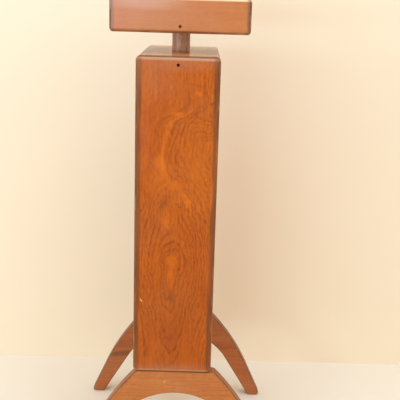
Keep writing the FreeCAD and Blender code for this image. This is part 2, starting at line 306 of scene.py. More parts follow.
class Effect:
    """A shader node group that several finishes share. It is built once, and each finish places it."""

    name: ClassVar[str]
    takes: ClassVar[dict[str, Kind]]
    gives: ClassVar[dict[str, Kind]]

    @classmethod
    def wire(cls, graph: Graph, taken: dict[str, Signal]) -> dict[str, Signal]:
        """Wire the inside of the group.

        Args:
            graph: The group's graph.
            taken: Its inputs by name.

        Returns:
            Its outputs by name.
        """
        raise NotImplementedError

    @classmethod
    def tree(cls) -> bpy.types.ShaderNodeTree:
        """Find the group's node tree, or build it at the first call.

        Returns:
            The tree.
        """
        found = bpy.data.node_groups.get(cls.name)
        if found:
            return found
        tree = bpy.data.node_groups.new(cls.name, "ShaderNodeTree")
        for sockets, side in ((cls.takes, "INPUT"), (cls.gives, "OUTPUT")):
            for name, kind in sockets.items():
                tree.interface.new_socket(name=name, in_out=side, socket_type=kind.value)
        entry, end = tree.nodes.new("NodeGroupInput"), tree.nodes.new("NodeGroupOutput")
        graph = Graph(tree)
        given = cls.wire(graph, {name: Signal(graph, entry.outputs[name]) for name in cls.takes})
        for name, signal in given.items():
            graph.feed(end.inputs[name], signal)
        return tree

    @classmethod
    def place(cls, graph: Graph, feeds: dict[str, Feed]) -> dict[str, Signal]:
        """Place the group in a graph.

        Args:
            graph: The graph of a material or of another group.
            feeds: What its inputs get, by name.

        Returns:
            Its outputs by name.
        """
        made = graph.tree.nodes.new("ShaderNodeGroup")
        made.node_tree = cls.tree()
        for name, value in feeds.items():
            graph.feed(made.inputs[name], value)
        return {name: graph.signal(made, name) for name in cls.gives}


# ---- Shared effects -----------------------------------------------------------------------------


class GrowthEye(Effect):
    """Growth rings round the eye of a figure, drawn to a point below it.

    Above the eye the inner rings close flat, and the outer ones open into lines that climb on until
    the eye's hold on the figure ends.
    """

    name = "Growth eye"
    opening: ClassVar[float] = 0.15
    closing: ClassVar[float] = 0.006
    point_below: ClassVar[float] = 2.0
    round_above: ClassVar[float] = 0.5
    takes = numbers("Across", "Along", "Eye Across", "Eye Along", "Ring Width", "Ring Rise", "Ring Fall",
                   "Taper")
    gives = numbers("Rings")

    @classmethod
    def wire(cls, graph: Graph, taken: dict[str, Signal]) -> dict[str, Signal]:
        """Count rings outwards from the eye.

        Args:
            graph: The group's graph.
            taken: Its inputs by name.

        Returns:
            Its outputs by name.
        """
        height = taken["Along"] - taken["Eye Along"]
        up = height.above(0.0) / taken["Ring Rise"]
        up = up / (up * cls.opening + 1.0) + up * up * cls.closing
        down = abs(height.below(0.0)) / taken["Ring Fall"]
        side = abs((taken["Across"] - taken["Eye Across"]) / taken["Ring Width"])
        lean = side * (down * cls.point_below - up * cls.round_above) * taken["Taper"]
        return {"Rings": graph.math("SQRT", side * side + up * up + down * down + lean)}


class TrunkRings(Effect):
    """Growth rings of solid wood round a pith line that runs along the grain."""

    name = "Trunk rings"
    takes = {"Grain": Kind.VECTOR, **numbers("Pith Across", "Pith Depth", "Ring Width", "Wander")}
    gives = numbers("Rings")

    @classmethod
    def wire(cls, graph: Graph, taken: dict[str, Signal]) -> dict[str, Signal]:
        """Count rings outwards from the pith.

        Args:
            graph: The group's graph.
            taken: Its inputs by name.

        Returns:
            Its outputs by name.
        """
        _, across, depth = graph.split(taken["Grain"])
        slow = graph.grain_noise(taken["Grain"], 0.009, 0.03, 3.0)
        side = across - taken["Pith Across"] + (slow - 0.5) * taken["Wander"]
        deep = depth - taken["Pith Depth"]
        return {"Rings": graph.math("SQRT", side * side + deep * deep) / taken["Ring Width"]}


class GrowthLines(Effect):
    """Dark late-wood lines, one for each ring, each stronger or weaker than the next and broken up.

    A pale line follows the ring that is given as the seam.
    """

    name = "Growth lines"
    takes = {"Grain": Kind.VECTOR, **numbers("Rings", "Clear", "Seam")}
    gives = numbers("Lines", "Tone", "Heart", "Pale")

    @classmethod
    def wire(cls, graph: Graph, taken: dict[str, Signal]) -> dict[str, Signal]:
        """Darken towards the end of each ring.

        Args:
            graph: The group's graph.
            taken: Its inputs by name.

        Returns:
            Its outputs by name.
        """
        rings, grain = taken["Rings"], taken["Grain"]
        share = graph.math("FRACT", rings)
        count = graph.math("FLOOR", rings)
        luck = graph.signal(graph.node("TexWhiteNoise", {"W": count}, noise_dimensions="1D"), "Value")
        line = graph.step(share, 0.5, 0.84) * graph.step(share, 1.0, 0.88)
        patch = graph.step(graph.grain_noise(grain, 0.02, 0.05), 0.24, 0.54)
        gaps = graph.step(graph.grain_noise(grain, 0.08, 0.2), 0.26, 0.56)
        broken = patch * gaps * graph.step(rings - taken["Clear"], -0.15, 0.05)
        return {"Lines": line * (luck * 0.5 + 0.5) * broken, "Tone": share * 0.5 + luck * 0.5,
                "Heart": 1.0 - graph.step(rings - taken["Clear"], -0.5, 0.1),
                "Pale": graph.step(abs(rings - taken["Seam"]), 0.34, 0.08)}


class Fibres(Effect):
    """Wood fibres: streaks, fine hairs, short dark pores, clouds and mottling, all along the grain."""

    name = "Fibres"
    takes = {"Grain": Kind.VECTOR}
    gives = numbers("Streak", "Hair", "Pores", "Cloud", "Mottle")

    @classmethod
    def wire(cls, graph: Graph, taken: dict[str, Signal]) -> dict[str, Signal]:
        """Stretch noise of several widths along the grain.

        Args:
            graph: The group's graph.
            taken: Its inputs by name.

        Returns:
            Its outputs by name.
        """
        grain = taken["Grain"]
        return {"Streak": graph.step(graph.grain_noise(grain, 0.012, 0.22, 3.0), 0.3, 0.7),
                "Hair": graph.step(graph.grain_noise(grain, 0.06, 1.7, 3.0, 0.65), 0.32, 0.7),
                "Pores": graph.step(graph.grain_noise(grain, 0.22, 3.2, 1.0), 0.62, 0.74),
                "Cloud": graph.step(graph.grain_noise(grain, 0.018, 0.035, 4.0, 0.68), 0.3, 0.7),
                "Mottle": graph.step(graph.grain_noise(grain, 0.13, 0.3, 3.0, 0.7), 0.34, 0.7)}


class StainedWood(Effect):
    """Stain and varnish over wood: colours for early wood, late wood and pores."""

    name = "Stained wood"
    tone_share: ClassVar[float] = 0.55
    streak_share: ClassVar[float] = 0.35
    hair_share: ClassVar[float] = 0.18
    mottle_share: ClassVar[float] = 0.28
    pore_share: ClassVar[float] = 0.4
    pore_depth: ClassVar[float] = 0.5
    hair_depth: ClassVar[float] = 0.3
    line_depth: ClassVar[float] = 0.35
    takes = {"Light": Kind.COLOUR, "Dark": Kind.COLOUR, "Line": Kind.COLOUR,
             **numbers("Lines", "Tone", "Streak", "Hair", "Pores", "Mottle")}
    gives = {"Colour": Kind.COLOUR, "Height": Kind.VALUE}

    @classmethod
    def wire(cls, graph: Graph, taken: dict[str, Signal]) -> dict[str, Signal]:
        """Lay the colours over one another.

        Args:
            graph: The group's graph.
            taken: Its inputs by name.

        Returns:
            Its outputs by name.
        """
        lines, hair, pores = taken["Lines"], taken["Hair"], taken["Pores"]
        shade = graph.math("ADD", taken["Tone"] * cls.tone_share, taken["Streak"] * cls.streak_share,
                           clamp=True)
        ground = graph.tint(shade, taken["Light"], taken["Dark"])
        lined = graph.tint(lines, ground, taken["Line"])
        specks = hair * cls.hair_share + taken["Mottle"] * cls.mottle_share
        fine = graph.tint(specks, lined, taken["Line"])
        pored = graph.tint(pores * cls.pore_share, fine, taken["Line"])
        height = 1.0 - pores * cls.pore_depth - hair * cls.hair_depth - lines * cls.line_depth
        return {"Colour": pored, "Height": height}


class RoundedEdge(Effect):
    """Rounded-over edges: a painted shade line where the surface turns, and patches of varnish that hands
    have rubbed.
    """

    name = "Rounded edge"
    takes = {"Grain": Kind.VECTOR, **numbers("Flatness", "Reach")}
    gives = numbers("Edge Shade", "Rub")

    @classmethod
    def wire(cls, graph: Graph, taken: dict[str, Signal]) -> dict[str, Signal]:
        """Find where the surface turns from one face to the next.

        Args:
            graph: The group's graph.
            taken: Its inputs by name.

        Returns:
            Its outputs by name.
        """
        turned = (1.0 - taken["Flatness"]) / taken["Reach"]
        crest = graph.step(taken["Flatness"], 0.86, 0.72)
        worn = graph.step(graph.noise(taken["Grain"], 0.045, 4.0, 0.62), 0.5, 0.62)
        return {"Edge Shade": graph.step(turned, 0.1, 1.0), "Rub": crest * worn}


class PanelRim(Effect):
    """A board's end grain, and its round-overs: a painted highlight at its top and a painted floor
    reflection at its bottom.
    """

    name = "Panel rim"
    takes = numbers("Turn", "Rise", "End Start")
    gives = numbers("End", "Crest Highlight", "Foot Reflection")

    @classmethod
    def wire(cls, graph: Graph, taken: dict[str, Signal]) -> dict[str, Signal]:
        """Tell them by how far the surface turns along the grain and upwards.

        Args:
            graph: The group's graph.
            taken: Its inputs by name.

        Returns:
            Its outputs by name.
        """
        steep = abs(taken["Rise"])
        turned = graph.step(steep, 0.1, 0.42) * graph.step(steep, 0.86, 0.66)
        upward = graph.step(taken["Rise"], -0.05, 0.05)
        return {"End": graph.step(abs(taken["Turn"]) - taken["End Start"], 0.0, 0.2),
                "Crest Highlight": turned * upward, "Foot Reflection": turned * (1.0 - upward)}


class CornerStain(Effect):
    """Dark stain along a panel's upright corners, which fades out a little way onto its faces."""

    name = "Corner stain"
    raggedness: ClassVar[float] = 5.0
    takes = {"Grain": Kind.VECTOR, **numbers("Half Width", "Half Thickness", "Reach")}
    gives = numbers("Stain", "Deep")

    @classmethod
    def wire(cls, graph: Graph, taken: dict[str, Signal]) -> dict[str, Signal]:
        """Measure how far the surface is from the corner, with a ragged border.

        Args:
            graph: The group's graph.
            taken: Its inputs by name.

        Returns:
            Its outputs by name.
        """
        _, across, depth = graph.split(taken["Grain"])
        from_side = taken["Half Width"] - abs(across)
        from_face = taken["Half Thickness"] - abs(depth)
        ragged = graph.grain_noise(taken["Grain"], 0.03, 0.12, 3.0, 0.6)
        distance = (from_side.above(from_face) + (ragged - 0.5) * cls.raggedness) / taken["Reach"]
        blotch = graph.grain_noise(taken["Grain"], 0.018, 0.3)
        return {"Stain": graph.step(distance, 1.0, 0.62), "Deep": graph.step(blotch, 0.4, 0.68)}


class Smudge(Effect):
    """An oval patch of another tone, such as a knot, a chip, a darker smear, painted shade or a painted
    reflection, leaning at an angle.
    """

    name = "Smudge"
    takes = numbers("Across", "Along", "Middle Across", "Middle Along", "Half Across", "Half Along",
                   "Lean", "Softness")
    gives = numbers("Patch")

    @classmethod
    def wire(cls, graph: Graph, taken: dict[str, Signal]) -> dict[str, Signal]:
        """Fade out from the middle to the rim of the oval.

        Args:
            graph: The group's graph.
            taken: Its inputs by name.

        Returns:
            Its outputs by name.
        """
        side = taken["Across"] - taken["Middle Across"]
        height = taken["Along"] - taken["Middle Along"]
        cosine, sine = graph.math("COSINE", taken["Lean"]), graph.math("SINE", taken["Lean"])
        wide = (side * cosine + height * sine) / taken["Half Across"]
        long = (height * cosine - side * sine) / taken["Half Along"]
        reach = (1.0 - graph.math("SQRT", wide * wide + long * long)) / taken["Softness"]
        return {"Patch": graph.step(reach, 0.0, 1.0)}


class PlyEdge(Effect):
    """The layers of plywood, which show on a board's edges as bands of unlike tone."""

    name = "Ply edge"
    takes = numbers("Depth", "Facing", "Layer")
    gives = numbers("Cut", "Band", "Glue")

    @classmethod
    def wire(cls, graph: Graph, taken: dict[str, Signal]) -> dict[str, Signal]:
        """Band the depth into layers with a glue line between them.

        Args:
            graph: The group's graph.
            taken: Its inputs by name.

        Returns:
            Its outputs by name.
        """
        layers = taken["Depth"] / taken["Layer"]
        wave = graph.math("PINGPONG", layers, 1.0)
        seam = abs(graph.math("FRACT", layers + 0.5) - 0.5)
        return {"Cut": graph.step(taken["Facing"], 0.93, 0.72), "Band": graph.step(wave, 0.35, 0.65),
                "Glue": graph.step(seam, 0.05, 0.015)}


class VarnishAge(Effect):
    """Age of a varnish: a milky bloom in patches, and scuffs that dull the gloss."""

    name = "Varnish age"
    takes = {"Grain": Kind.VECTOR}
    gives = numbers("Bloom", "Scuff", "Ripple")

    @classmethod
    def wire(cls, graph: Graph, taken: dict[str, Signal]) -> dict[str, Signal]:
        """Draw patches, scuffs and brush ripple.

        Args:
            graph: The group's graph.
            taken: Its inputs by name.

        Returns:
            Its outputs by name.
        """
        grain = taken["Grain"]
        along, across, depth = graph.split(grain)
        patch = graph.noise(grain, 0.014, 4.0, 0.6)
        scuff = graph.noise(graph.join(along * 0.3, across * 0.06, depth * 0.3), 1.0, 5.0, 0.7)
        return {"Bloom": graph.step(patch, 0.42, 0.7), "Scuff": graph.step(scuff, 0.56, 0.74),
                "Ripple": graph.grain_noise(grain, 0.008, 0.12)}


# ---- Grain and figure ---------------------------------------------------------------------------


class GrainAxis(Enum):
    """Which way a board's grain runs, as the order of X, Y and Z: along, across and through it."""

    X_FACING_Y = (0, 2, 1)
    X_FACING_Z = (0, 1, 2)
    Y_FACING_X = (1, 2, 0)
    Y_FACING_Z = (1, 0, 2)
    Z_FACING_X = (2, 1, 0)
    Z_FACING_Y = (2, 0, 1)


class Edges(Enum):
    """How a piece's edges are rounded, which says where its round-overs are."""

    BOX = "box"
    BOARD = "board"
    NONE = "none"


@dataclass(frozen=True)
class Eye:
    """One eye of a rotary-cut figure, in millimetres from the middle of the board's foot.

    Each ring is so much wider to the sides, above and below. The start is added to the count of rings,
    and the taper draws them to a point below the eye.
    """

    across: float
    along: float
    width: float
    rise: float
    fall: float
    start: float = 0.0
    taper: float = 0.0


@dataclass(frozen=True)
class Bend:
    """A stretch of a figure's seam where it swings sideways as it climbs, in millimetres."""

    start: float
    end: float
    shift: float


@dataclass(frozen=True)
class Oval:
    """An oval place on a board, in millimetres from the middle of the board's foot, leaning in degrees."""

    across: float
    along: float
    half_across: float
    half_along: float
    lean: float = 0.0
    softness: float = 0.8

    def mask(self, graph: Graph, grain: Signal) -> Signal:
        """Return 1 in the oval and 0 outside it.

        Args:
            graph: The material's graph.
            grain: The place on the board, in millimetres.

        Returns:
            The mask, which fades out towards the oval's rim.
        """
        along, across, _ = graph.split(grain)
        return Smudge.place(graph, {
            "Across": across, "Along": along, "Middle Across": self.across, "Middle Along": self.along,
            "Half Across": self.half_across, "Half Along": self.half_along,
            "Lean": math.radians(self.lean), "Softness": self.softness})["Patch"]


@dataclass(frozen=True, kw_only=True)
class Figure:
    """The pattern that growth rings draw on a board, in millimetres.

    The first few rings are clear of lines, and in the calm ovals lines are faint. Where the seam shows,
    a pale line follows the ring that the seam starts from.
    """

    clear: float = 0.0
    calm: tuple[Oval, ...] = ()
    seam_shows: Oval | None = None
    seam_start: float = 0.0

    def rings(self, graph: Graph, grain: Signal) -> Signal:
        """Count growth rings over the board.

        Args:
            graph: The material's graph.
            grain: The place on the board, in millimetres.

        Returns:
            The number of rings.
        """
        raise NotImplementedError


@dataclass(frozen=True, kw_only=True)
class RotaryFigure(Figure):
    """Wild figure of rotary-cut veneer: eyes with closed rings, beside lines that follow a seam.

    The lines spread out between the seam, which bends, and a far side, which is straight.
    """

    eyes: tuple[Eye, ...]
    seam: float = 28.0
    far_side: float = 150.0
    bends: tuple[Bend, ...] = ()
    seam_start: float = 8.0
    close_width: float = 4.4
    open_width: float = 15.0
    wander: float = 5.0
    soft: float = 1.0
    clear: float = 2.1

    def rings(self, graph: Graph, grain: Signal) -> Signal:
        """Count rings outwards from the seam and from each eye.

        Args:
            graph: The material's graph.
            grain: The place on the board, in millimetres.

        Returns:
            The number of rings.
        """
        along, across, _ = graph.split(grain)
        slow = graph.noise(graph.join(along * 0.012, across * 0.03, 0.0), 1.0, 2.0)
        quick = graph.noise(graph.join(along * 0.05, across * 0.09, 3.0), 1.0, 3.0, 0.65)
        fine = graph.noise(graph.join(along * 0.14, across * 0.22, 9.0), 1.0, 3.0, 0.6)
        side = across + (slow - 0.5) * (self.wander * 3) + (quick - 0.5) * (self.wander * 1.4)
        side = side + (fine - 0.5) * (self.wander * 0.9)
        up = along + (quick - 0.5) * (self.wander * 2) + (fine - 0.5) * self.wander
        swing = sum(graph.step(up, bend.start, bend.end) * bend.shift for bend in self.bends)
        gap = side - self.seam - swing
        span = self.far_side - self.seam
        close = gap.above(0.0) * span / (span - swing) / self.close_width
        rings = close - gap.below(0.0) / self.open_width + self.seam_start
        for eye in self.eyes:
            ring = GrowthEye.place(graph, {
                "Across": side, "Along": up, "Eye Across": eye.across, "Eye Along": eye.along,
                "Ring Width": eye.width, "Ring Rise": eye.rise, "Ring Fall": eye.fall,
                "Taper": eye.taper})["Rings"]
            rings = graph.math("SMOOTH_MIN", rings, ring + eye.start, self.soft)
        return rings


@dataclass(frozen=True)
class TrunkFigure(Figure):
    """Plain figure of solid wood, sawn so far from the pith, in millimetres."""

    pith_across: float
    pith_depth: float
    width: float = 3.2
    wander: float = 16.0

    def rings(self, graph: Graph, grain: Signal) -> Signal:
        """Count rings outwards from the pith.

        Args:
            graph: The material's graph.
            grain: The place on the board, in millimetres.

        Returns:
            The number of rings.
        """
        return TrunkRings.place(graph, {
            "Grain": grain, "Pith Across": self.pith_across, "Pith Depth": self.pith_depth,
            "Ring Width": self.width, "Wander": self.wander})["Rings"]


@dataclass(frozen=True)
class Patch:
    """A knot, chip or smear on a board, or a patch of painted shade or painted reflection."""

    colour: Colour
    oval: Oval
    strength: float = 0.5


@dataclass(frozen=True)
class Corners:
    """Where a piece's stained upright corners are, in millimetres from its middle.

    The width runs across the grain, or else along it.
    """

    half_width: float
    half_thickness: float
    reach: float = 9.5
    along_grain: bool = False


@dataclass(frozen=True)
class Board:
    """How one piece of wood was cut: its grain, figure and edges, and where its grain is read from."""

    axis: GrainAxis
    figure: Figure
    edges: Edges = Edges.BOARD
    origin: Place = (0.0, 0.0, 0.0)
    ply_layer: float = 0.0
    corners: Corners | None = None
    patches: tuple[Patch, ...] = ()

    def grain(self, graph: Graph) -> Signal:
        """Find the place on the board.

        Args:
            graph: The material's graph.

        Returns:
            The place in millimetres: along, across and through the grain.
        """
        place = graph.split(graph.spot())
        moved = [(value - start) * MILLIMETRES for value, start in zip(place, self.origin)]
        return graph.join(*(moved[index] for index in self.axis.value))

    def normal(self, graph: Graph) -> list[Signal]:
        """Return the surface normal's parts: along, across and through the grain, and upwards."""
        parts = graph.split(graph.signal(graph.node("TexCoord", {}), "Normal"))
        return [parts[index] for index in self.axis.value] + [parts[2]]

    def flatness(self, graph: Graph, normal: list[Signal]) -> Signal:
        """Tell how squarely the surface lies to the piece's faces.

        Args:
            graph: The material's graph.
            normal: The normal's parts.

        Returns:
            1 on a face, and less on a rounded edge.
        """
        along, across, through = (abs(part) for part in normal[:3])
        if self.edges is Edges.BOX:
            return along.above(across).above(through)
        return through.above(graph.math("SQRT", along * along + across * across))


# ---- Finishes -----------------------------------------------------------------------------------


COAT_IOR = 1.35
# Dust on upward faces, which is also a painted reflection of the cream wall that brightens the column's
# top.
DUST_AND_SHEEN = srgb(226, 200, 150)


def new_material(name: str) -> tuple[bpy.types.Material, Graph, bpy.types.Node]:
    """Make a material with a Principled shader.

    Args:
        name: The material's name.

    Returns:
        The material, its graph and its shader node.
    """
    material = bpy.data.materials.new(name)
    material.use_nodes = True
    graph = Graph(material.node_tree)
    return material, graph, material.node_tree.nodes["Principled BSDF"]


@dataclass(frozen=True)
class WoodFinish:
    """Stained or bare wood under varnish, oil or nothing.

    A strength says how much of its colour is laid on. What dulls adds to the roughness.
    """

    name: str
    light: Colour
    dark: Colour
    line: Colour
    edge: Colour
    deep: Colour
    # The worn colour serves rubbed varnish, the painted highlight on top round-overs and the painted
    # reflection of the floor on bottom round-overs.
    worn: Colour
    bloom: Colour
    line_strength: float = 0.5
    tone_strength: float = 1.0
    mottle: float = 0.5
    side_strength: float = 0.0
    end_strength: float = 0.35
    end_start: float = 0.66
    end_coat: float = 0.1
    crest_highlight_strength: float = 0.0
    foot_reflection_strength: float = 0.0
    stain_strength: float = 0.0
    edge_shade_strength: float = 0.0
    edge_reach: float = 0.03
    rub_strength: float = 0.3
    ply_strength: float = 0.35
    glue_strength: float = 0.4
    bloom_strength: float = 0.1
    dust_and_sheen_strength: float = 0.0
    even_dust_and_sheen: float = 0.7
    ring_share: float = 0.4
    heart_share: float = 0.8
    calm_fade: float = 0.85
    stain_hides: float = 0.6
    hair_dulls: float = 0.05
    scuff_dulls: float = 0.12
    bloom_dulls: float = 0.08
    roughness: float = 0.32
    specular: float = 0.25
    coat: float = 0.6
    coat_roughness: float = 0.16
    relief: float = 0.00004
    ripple: float = 2.5

    def ground(self, graph: Graph, board: Board, grain: Signal,
               fibres: dict[str, Signal]) -> dict[str, Signal]:
        """Wire the wood itself, before its edges and its age.

        Args:
            graph: The material's graph.
            board: How the piece was cut.
            grain: The place on the board, in millimetres.
            fibres: What the fibres effect gives.

        Returns:
            The wood's colour and height.
        """
        lines = GrowthLines.place(graph, {"Rings": board.figure.rings(graph, grain), "Grain": grain,
                                          "Clear": board.figure.clear,
                                          "Seam": board.figure.seam_start})
        shade = lines["Tone"] * self.ring_share + fibres["Cloud"] * (1.0 - self.ring_share)
        shade = shade - lines["Heart"] * self.heart_share
        if board.figure.seam_shows:
            shade = shade - lines["Pale"] * board.figure.seam_shows.mask(graph, grain)
        drawn = lines["Lines"] * self.line_strength
        for oval in board.figure.calm:
            drawn = drawn * (1.0 - oval.mask(graph, grain) * self.calm_fade)
        return StainedWood.place(graph, {
            "Light": self.light, "Dark": self.dark, "Line": self.line,
            "Lines": drawn, "Tone": shade * self.tone_strength,
            "Streak": fibres["Streak"], "Hair": fibres["Hair"], "Pores": fibres["Pores"],
            "Mottle": fibres["Mottle"] * self.mottle})

    def edges(self, graph: Graph, board: Board, grain: Signal, normal: list[Signal],
              rim: dict[str, Signal], colour: Signal) -> Signal:
        """Lay the edges' plies, stain and wear over the wood.

        Args:
            graph: The material's graph.
            board: How the piece was cut.
            grain: The place on the board, in millimetres.
            normal: The normal's parts.
            rim: What the panel rim effect gives.
            colour: The wood's colour.

        Returns:
            The colour with its edges.
        """
        if board.ply_layer:
            ply = PlyEdge.place(graph, {"Depth": graph.split(grain)[2], "Facing": abs(normal[2]),
                                        "Layer": board.ply_layer})
            layers = graph.tint(ply["Band"] * self.ply_strength, colour, self.edge)
            layers = graph.tint(ply["Glue"] * self.glue_strength, layers, self.line)
            colour = graph.tint(ply["Cut"], colour, layers)
        sawn = graph.step(abs(normal[2]), 0.75, 0.35)
        colour = graph.tint(sawn * self.side_strength, colour, self.edge)
        colour = graph.tint(rim["End"] * self.end_strength, colour, self.deep)
        if board.corners:
            corners = board.corners
            along, across, depth = graph.split(grain)
            upright = graph.join(across, along, depth) if corners.along_grain else grain
            stain = CornerStain.place(graph, {
                "Grain": upright, "Half Width": corners.half_width, "Reach": corners.reach,
                "Half Thickness": corners.half_thickness})
            edge = graph.tint(stain["Deep"], self.edge, self.deep)
            colour = graph.tint(stain["Stain"] * self.stain_strength, colour, edge)
        if board.edges is not Edges.NONE:
            round_over = RoundedEdge.place(graph, {
                "Flatness": board.flatness(graph, normal), "Grain": grain, "Reach": self.edge_reach})
            # A painted shade line along the turn of each rounded edge.
            colour = graph.tint(round_over["Edge Shade"] * self.edge_shade_strength, colour, self.deep)
            colour = graph.tint(round_over["Rub"] * self.rub_strength, colour, self.worn)
            # Painted highlight on the top round-overs and painted reflection of the floor on the bottom
            # ones, both in the worn colour.
            crest = rim["Crest Highlight"] * self.crest_highlight_strength + rim["Foot Reflection"] * self.foot_reflection_strength
            if board.corners:
                crest = crest * (1.0 - stain["Stain"] * self.stain_hides)
            colour = graph.tint(crest, colour, self.worn)
        return colour

    def material(self, piece: str, board: Board) -> bpy.types.Material:
        """Make the finish for one piece.

        Args:
            piece: The piece's name.
            board: How the piece was cut.

        Returns:
            The material.
        """
        material, graph, shader = new_material(f"{self.name} {piece}")
        grain, normal = board.grain(graph), board.normal(graph)
        fibres = Fibres.place(graph, {"Grain": grain})
        age = VarnishAge.place(graph, {"Grain": grain})
        rim = PanelRim.place(graph, {"Turn": normal[0], "Rise": normal[3], "End Start": self.end_start})
        wood = self.ground(graph, board, grain, fibres)
        colour = self.edges(graph, board, grain, normal, rim, wood["Colour"])
        for patch in board.patches:
            colour = graph.tint(patch.oval.mask(graph, grain) * patch.strength, colour, patch.colour)
        colour = graph.tint(age["Bloom"] * self.bloom_strength, colour, self.bloom)
        # Dust and painted reflection on upward faces, thicker where the varnish blooms.
        if self.dust_and_sheen_strength:
            thick = self.even_dust_and_sheen + age["Bloom"] * (1.0 - self.even_dust_and_sheen)
            upward_dust_and_sheen = graph.step(normal[3], 0.8, 0.98) * thick
            colour = graph.tint(upward_dust_and_sheen * self.dust_and_sheen_strength, colour, DUST_AND_SHEEN)
        graph.feed(shader.inputs["Base Color"], colour)
        dull = fibres["Hair"] * self.hair_dulls + age["Scuff"] * self.scuff_dulls
        dull = dull + age["Bloom"] * self.bloom_dulls + self.roughness
        graph.feed(shader.inputs["Roughness"], dull)
        relief = graph.node("Bump", {"Strength": 1.0, "Distance": self.relief,
                                     "Height": wood["Height"] + age["Ripple"] * self.ripple})
        graph.feed(shader.inputs["Normal"], graph.signal(relief))
        shader.inputs["Specular IOR Level"].default_value = self.specular
        more_at_ends = self.end_coat - self.coat
        coat = rim["End"] * more_at_ends + self.coat if more_at_ends else self.coat
        graph.feed(shader.inputs["Coat Weight"], coat)
        shader.inputs["Coat Roughness"].default_value = self.coat_roughness
        shader.inputs["Coat IOR"].default_value = COAT_IOR
        return material


@dataclass(frozen=True)
class MetalFinish:
    """Plain metal with tarnish in patches and fine turning marks."""

    name: str
    bright: Colour
    tarnish: Colour
    roughness: float
    metallic: float = 1.0
    metallic_loss: float = 0.55
    patch_dulls: float = 0.25
    mark_dulls: float = 0.1
    patch_scale: float = 420.0
    mark_scale: float = 2600.0
    relief: float = 0.00005

    def material(self, piece: str) -> bpy.types.Material:
        """Make the finish for one piece.

        Args:
            piece: The piece's name.

        Returns:
            The material.
        """
        material, graph, shader = new_material(f"{self.name} {piece}")
        patch = graph.step(graph.noise(graph.spot(), self.patch_scale, 4.0, 0.6), 0.4, 0.62)
        marks = graph.noise(graph.spot(), self.mark_scale)
        graph.feed(shader.inputs["Base Color"], graph.tint(patch, self.bright, self.tarnish))
        dull = patch * self.patch_dulls + marks * self.mark_dulls + self.roughness
        graph.feed(shader.inputs["Roughness"], dull)
        graph.feed(shader.inputs["Metallic"], self.metallic - patch * (self.metallic * self.metallic_loss))
        bump = graph.node("Bump", {"Strength": 0.4, "Distance": self.relief, "Height": marks})
        graph.feed(shader.inputs["Normal"], graph.signal(bump))
        return material


@dataclass(frozen=True)
class FeltFinish:
    """Pressed wool felt: matted fibres with a soft sheen."""

    name: str
    light: Colour
    dark: Colour
    worn: Colour
    fibre_scale: float = 900.0
    clump_scale: float = 160.0
    roughness: float = 0.88
    mat_dulls: float = 0.1
    relief: float = 0.0004
    sheen: float = 0.3
    sheen_roughness: float = 0.5

    def material(self, piece: str) -> bpy.types.Material:
        """Make the finish for one piece.

        Args:
            piece: The piece's name.

        Returns:
            The material.
        """
        material, graph, shader = new_material(f"{self.name} {piece}")
        mat = graph.noise(graph.spot(), self.fibre_scale, 5.0, 0.7)
        clump = graph.noise(graph.spot(), self.clump_scale, 3.0, 0.6)
        shade = graph.tint(graph.step(mat, 0.35, 0.65), self.dark, self.light)
        colour = graph.tint(graph.step(clump, 0.5, 0.75) * 0.5, shade, self.worn)
        graph.feed(shader.inputs["Base Color"], colour)
        graph.feed(shader.inputs["Roughness"], mat * self.mat_dulls + self.roughness)
        bump = graph.node("Bump", {"Strength": 0.9, "Distance": self.relief, "Height": mat + clump * 0.5})
        graph.feed(shader.inputs["Normal"], graph.signal(bump))
        shader.inputs["Sheen Weight"].default_value = self.sheen
        shader.inputs["Sheen Roughness"].default_value = self.sheen_roughness
        return material


# The column's worn colour also paints a highlight along its top edges and a reflection of the floor along
# its bottom edges.
COLUMN_WOOD = WoodFinish(
    "column_wood", light=srgb(207, 102, 12), dark=srgb(173, 75, 11), line=srgb(110, 42, 8),
    edge=srgb(127, 69, 31), deep=srgb(99, 56, 28), worn=srgb(192, 148, 112),
    bloom=srgb(176, 110, 60), line_strength=0.7, mottle=1.0, end_strength=1.0, crest_highlight_strength=0.72,
    foot_reflection_strength=0.85, stain_strength=0.92, specular=0.12, coat=0.25)
SIDE_WOOD = replace(COLUMN_WOOD, name="side_wood", line_strength=0.5, end_strength=0.0, end_coat=0.5,
                    dust_and_sheen_strength=0.3)
# A lighter, yellower copy of the column's wood for the top board: painted light for its top face, which
# reflects the wall.
TOP_WOOD = replace(COLUMN_WOOD, name="top_wood", light=srgb(220, 132, 24), dark=srgb(192, 108, 20),
                   line_strength=0.35, mottle=0.5, dust_and_sheen_strength=0.2, coat=0.45)
ARCH_WOOD = WoodFinish(
    "arch_wood", light=srgb(201, 120, 58), dark=srgb(179, 100, 48), line=srgb(126, 62, 28),
    edge=srgb(112, 64, 38), deep=srgb(104, 60, 36), worn=srgb(196, 140, 100),
    bloom=srgb(190, 134, 98), line_strength=0.35, tone_strength=0.8, mottle=0.7, side_strength=0.35,
    end_start=0.3, edge_shade_strength=0.7, edge_reach=0.25, roughness=0.38, specular=0.2, coat=0.3)
# A darker copy for the back arch: partly a darker stain, partly painted shade where the column shades the
# back legs.
BACK_ARCH_WOOD = replace(ARCH_WOOD, name="back_arch_wood", light=srgb(186, 107, 56),
                         dark=srgb(164, 88, 45))
